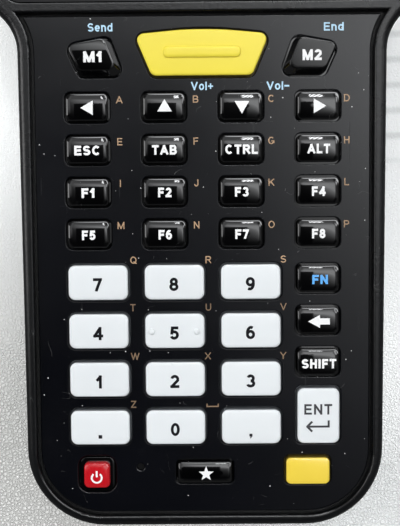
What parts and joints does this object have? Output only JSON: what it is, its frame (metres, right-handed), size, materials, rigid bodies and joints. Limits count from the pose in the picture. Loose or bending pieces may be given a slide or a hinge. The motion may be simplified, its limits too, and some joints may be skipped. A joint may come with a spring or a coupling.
{
  "type": "portable barcode data terminal",
  "caption": "Hand-held data terminal: touch screen and scan window in a wide head, and a narrower grip with a recessed panel of separate number and function keys.",
  "frame": {"origin": "middle of the whole outline, on the table plane that the terminal's back rests on", "axes": "+Z out of the screen, +Y along the terminal from the keypad to the scan window, +X to the right seen from the front"},
  "size_m": [0.0824, 0.213, 0.0284],
  "materials": {
    "housing": "fine-textured satin",
    "panel": "semi-gloss",
    "key_black": "gloss",
    "key_white": "satin",
    "key_yellow": "satin",
    "key_red": "gloss",
    "silicone": "matte",
    "domes": "bright",
    "board": "solder mask",
    "glass": "polished",
    "display": "dark",
    "battery": "fine-textured satin",
    "slider": "satin",
    "spring_steel": "rolled",
    "trigger": "satin",
    "flap_rubber": "matte",
    "connector": "drawn",
    "contact": "plated",
    "window": "polished",
    "engine": "matte",
    "lens": "polished",
    "seal": "matte",
    "screw": "blackened"
  },
  "bodies": {
    "terminal": {"front_housing": "housing", "rear_housing": "housing", "keypad_panel": "panel", "keypad_mat": "silicone", "snap_domes": "domes", "keypad_board": "board", "main_board": "board", "touch_glass": "glass", "display_module": "display", "catch_spring": "spring_steel", "usb_connector": "connector", "charging_contacts": "contact", "scan_window": "window", "scan_engine": "engine", "camera_window": "lens", "housing_seal": "seal", "housing_screws": "screw"},
    "flap": {"port_flap": "flap_rubber"},
    "battery": {"battery_pack": "battery"},
    "release_slider": {"battery_latch": "slider"},
    "trigger_right": {"right_trigger": "trigger"},
    "trigger_left": {"left_trigger": "trigger"},
    "cap_left": {"key_left": "key_black"},
    "cap_up": {"key_up": "key_black"},
    "cap_down": {"key_down": "key_black"},
    "cap_right": {"key_right": "key_black"},
    "cap_esc": {"key_esc": "key_black"},
    "cap_tab": {"key_tab": "key_black"},
    "cap_ctrl": {"key_ctrl": "key_black"},
    "cap_alt": {"key_alt": "key_black"},
    "cap_f1": {"key_f1": "key_black"},
    "cap_f2": {"key_f2": "key_black"},
    "cap_f3": {"key_f3": "key_black"},
    "cap_f4": {"key_f4": "key_black"},
    "cap_f5": {"key_f5": "key_black"},
    "cap_f6": {"key_f6": "key_black"},
    "cap_f7": {"key_f7": "key_black"},
    "cap_f8": {"key_f8": "key_black"},
    "cap_7": {"key_7": "key_white"},
    "cap_8": {"key_8": "key_white"},
    "cap_9": {"key_9": "key_white"},
    "cap_4": {"key_4": "key_white"},
    "cap_5": {"key_5": "key_white"},
    "cap_6": {"key_6": "key_white"},
    "cap_1": {"key_1": "key_white"},
    "cap_2": {"key_2": "key_white"},
    "cap_3": {"key_3": "key_white"},
    "cap_point": {"key_point": "key_white"},
    "cap_0": {"key_0": "key_white"},
    "cap_comma": {"key_comma": "key_white"},
    "cap_fn": {"key_fn": "key_black"},
    "cap_backspace": {"key_backspace": "key_black"},
    "cap_shift": {"key_shift": "key_black"},
    "cap_enter": {"key_enter": "key_white"},
    "cap_power": {"key_power": "key_red"},
    "cap_star": {"key_star": "key_black"},
    "cap_yellow": {"key_yellow": "key_yellow"},
    "cap_scan": {"key_scan": "key_yellow"},
    "cap_m1": {"key_m1": "key_black"},
    "cap_m2": {"key_m2": "key_black"}
  },
  "joints": [
    {"name": "port_flap_hinge", "type": "hinge", "parent": "terminal", "child": "flap", "pos_m": [0, -0.1057, 0.0173], "axis": [1, 0, 0], "range_deg": [0, 95]},
    {"name": "battery_tilt", "type": "hinge", "parent": "terminal", "child": "battery", "pos_m": [0, 0.0066, 0.0034], "axis": [1, 0, 0], "range_deg": [0, 25], "deforming": ["catch_spring"]},
    {"name": "battery_release_slide", "type": "slide", "parent": "terminal", "child": "release_slider", "axis": [0, -1, 0], "range_m": [0, 0.0022], "stiffness_N_per_m": 600, "deforming": ["catch_spring"]},
    {"name": "right_trigger_press", "type": "slide", "parent": "terminal", "child": "trigger_right", "axis": [-1, 0, 0], "range_m": [0, 0.0008], "stiffness_N_per_m": 2000},
    {"name": "left_trigger_press", "type": "slide", "parent": "terminal", "child": "trigger_left", "axis": [1, 0, 0], "range_m": [0, 0.0008], "stiffness_N_per_m": 2000},
    {"name": "scan_key_press", "type": "slide", "parent": "terminal", "child": "cap_scan", "axis": [0, 0, -1], "range_m": [0, 0.0006], "stiffness_N_per_m": 2000, "deforming": ["keypad_mat"]},
    {"name": "power_key_press", "type": "slide", "parent": "terminal", "child": "cap_power", "axis": [0, 0, -1], "range_m": [0, 0.0006], "stiffness_N_per_m": 2000, "deforming": ["keypad_mat"]},
    {"name": "enter_key_press", "type": "slide", "parent": "terminal", "child": "cap_enter", "axis": [0, 0, -1], "range_m": [0, 0.0006], "stiffness_N_per_m": 2000, "deforming": ["keypad_mat"]},
    {"name": "5_key_press", "type": "slide", "parent": "terminal", "child": "cap_5", "axis": [0, 0, -1], "range_m": [0, 0.0006], "stiffness_N_per_m": 2000, "deforming": ["keypad_mat"]},
    {"name": "m1_key_press", "type": "slide", "parent": "terminal", "child": "cap_m1", "axis": [0, 0, -1], "range_m": [0, 0.0006], "stiffness_N_per_m": 2000, "deforming": ["keypad_mat"]},
    {"name": "m2_key_press", "type": "slide", "parent": "terminal", "child": "cap_m2", "axis": [0, 0, -1], "range_m": [0, 0.0006], "stiffness_N_per_m": 2000, "deforming": ["keypad_mat"]},
    {"name": "star_key_press", "type": "slide", "parent": "terminal", "child": "cap_star", "axis": [0, 0, -1], "range_m": [0, 0.0006], "stiffness_N_per_m": 2000, "deforming": ["keypad_mat"]},
    {"name": "yellow_key_press", "type": "slide", "parent": "terminal", "child": "cap_yellow", "axis": [0, 0, -1], "range_m": [0, 0.0006], "stiffness_N_per_m": 2000, "deforming": ["keypad_mat"]},
    {"name": "left_key_press", "type": "slide", "parent": "terminal", "child": "cap_left", "axis": [0, 0, -1], "range_m": [0, 0.0006], "stiffness_N_per_m": 2000, "deforming": ["keypad_mat"]},
    {"name": "up_key_press", "type": "slide", "parent": "terminal", "child": "cap_up", "axis": [0, 0, -1], "range_m": [0, 0.0006], "stiffness_N_per_m": 2000, "deforming": ["keypad_mat"]},
    {"name": "down_key_press", "type": "slide", "parent": "terminal", "child": "cap_down", "axis": [0, 0, -1], "range_m": [0, 0.0006], "stiffness_N_per_m": 2000, "deforming": ["keypad_mat"]},
    {"name": "right_key_press", "type": "slide", "parent": "terminal", "child": "cap_right", "axis": [0, 0, -1], "range_m": [0, 0.0006], "stiffness_N_per_m": 2000, "deforming": ["keypad_mat"]},
    {"name": "esc_key_press", "type": "slide", "parent": "terminal", "child": "cap_esc", "axis": [0, 0, -1], "range_m": [0, 0.0006], "stiffness_N_per_m": 2000, "deforming": ["keypad_mat"]},
    {"name": "tab_key_press", "type": "slide", "parent": "terminal", "child": "cap_tab", "axis": [0, 0, -1], "range_m": [0, 0.0006], "stiffness_N_per_m": 2000, "deforming": ["keypad_mat"]},
    {"name": "ctrl_key_press", "type": "slide", "parent": "terminal", "child": "cap_ctrl", "axis": [0, 0, -1], "range_m": [0, 0.0006], "stiffness_N_per_m": 2000, "deforming": ["keypad_mat"]},
    {"name": "alt_key_press", "type": "slide", "parent": "terminal", "child": "cap_alt", "axis": [0, 0, -1], "range_m": [0, 0.0006], "stiffness_N_per_m": 2000, "deforming": ["keypad_mat"]},
    {"name": "f1_key_press", "type": "slide", "parent": "terminal", "child": "cap_f1", "axis": [0, 0, -1], "range_m": [0, 0.0006], "stiffness_N_per_m": 2000, "deforming": ["keypad_mat"]},
    {"name": "f2_key_press", "type": "slide", "parent": "terminal", "child": "cap_f2", "axis": [0, 0, -1], "range_m": [0, 0.0006], "stiffness_N_per_m": 2000, "deforming": ["keypad_mat"]},
    {"name": "f3_key_press", "type": "slide", "parent": "terminal", "child": "cap_f3", "axis": [0, 0, -1], "range_m": [0, 0.0006], "stiffness_N_per_m": 2000, "deforming": ["keypad_mat"]},
    {"name": "f4_key_press", "type": "slide", "parent": "terminal", "child": "cap_f4", "axis": [0, 0, -1], "range_m": [0, 0.0006], "stiffness_N_per_m": 2000, "deforming": ["keypad_mat"]},
    {"name": "f5_key_press", "type": "slide", "parent": "terminal", "child": "cap_f5", "axis": [0, 0, -1], "range_m": [0, 0.0006], "stiffness_N_per_m": 2000, "deforming": ["keypad_mat"]},
    {"name": "f6_key_press", "type": "slide", "parent": "terminal", "child": "cap_f6", "axis": [0, 0, -1], "range_m": [0, 0.0006], "stiffness_N_per_m": 2000, "deforming": ["keypad_mat"]},
    {"name": "f7_key_press", "type": "slide", "parent": "terminal", "child": "cap_f7", "axis": [0, 0, -1], "range_m": [0, 0.0006], "stiffness_N_per_m": 2000, "deforming": ["keypad_mat"]},
    {"name": "f8_key_press", "type": "slide", "parent": "terminal", "child": "cap_f8", "axis": [0, 0, -1], "range_m": [0, 0.0006], "stiffness_N_per_m": 2000, "deforming": ["keypad_mat"]},
    {"name": "7_key_press", "type": "slide", "parent": "terminal", "child": "cap_7", "axis": [0, 0, -1], "range_m": [0, 0.0006], "stiffness_N_per_m": 2000, "deforming": ["keypad_mat"]},
    {"name": "8_key_press", "type": "slide", "parent": "terminal", "child": "cap_8", "axis": [0, 0, -1], "range_m": [0, 0.0006], "stiffness_N_per_m": 2000, "deforming": ["keypad_mat"]},
    {"name": "9_key_press", "type": "slide", "parent": "terminal", "child": "cap_9", "axis": [0, 0, -1], "range_m": [0, 0.0006], "stiffness_N_per_m": 2000, "deforming": ["keypad_mat"]},
    {"name": "4_key_press", "type": "slide", "parent": "terminal", "child": "cap_4", "axis": [0, 0, -1], "range_m": [0, 0.0006], "stiffness_N_per_m": 2000, "deforming": ["keypad_mat"]},
    {"name": "6_key_press", "type": "slide", "parent": "terminal", "child": "cap_6", "axis": [0, 0, -1], "range_m": [0, 0.0006], "stiffness_N_per_m": 2000, "deforming": ["keypad_mat"]},
    {"name": "1_key_press", "type": "slide", "parent": "terminal", "child": "cap_1", "axis": [0, 0, -1], "range_m": [0, 0.0006], "stiffness_N_per_m": 2000, "deforming": ["keypad_mat"]},
    {"name": "2_key_press", "type": "slide", "parent": "terminal", "child": "cap_2", "axis": [0, 0, -1], "range_m": [0, 0.0006], "stiffness_N_per_m": 2000, "deforming": ["keypad_mat"]},
    {"name": "3_key_press", "type": "slide", "parent": "terminal", "child": "cap_3", "axis": [0, 0, -1], "range_m": [0, 0.0006], "stiffness_N_per_m": 2000, "deforming": ["keypad_mat"]},
    {"name": "point_key_press", "type": "slide", "parent": "terminal", "child": "cap_point", "axis": [0, 0, -1], "range_m": [0, 0.0006], "stiffness_N_per_m": 2000, "deforming": ["keypad_mat"]},
    {"name": "0_key_press", "type": "slide", "parent": "terminal", "child": "cap_0", "axis": [0, 0, -1], "range_m": [0, 0.0006], "stiffness_N_per_m": 2000, "deforming": ["keypad_mat"]},
    {"name": "comma_key_press", "type": "slide", "parent": "terminal", "child": "cap_comma", "axis": [0, 0, -1], "range_m": [0, 0.0006], "stiffness_N_per_m": 2000, "deforming": ["keypad_mat"]},
    {"name": "fn_key_press", "type": "slide", "parent": "terminal", "child": "cap_fn", "axis": [0, 0, -1], "range_m": [0, 0.0006], "stiffness_N_per_m": 2000, "deforming": ["keypad_mat"]},
    {"name": "backspace_key_press", "type": "slide", "parent": "terminal", "child": "cap_backspace", "axis": [0, 0, -1], "range_m": [0, 0.0006], "stiffness_N_per_m": 2000, "deforming": ["keypad_mat"]},
    {"name": "shift_key_press", "type": "slide", "parent": "terminal", "child": "cap_shift", "axis": [0, 0, -1], "range_m": [0, 0.0006], "stiffness_N_per_m": 2000, "deforming": ["keypad_mat"]}
  ]
}
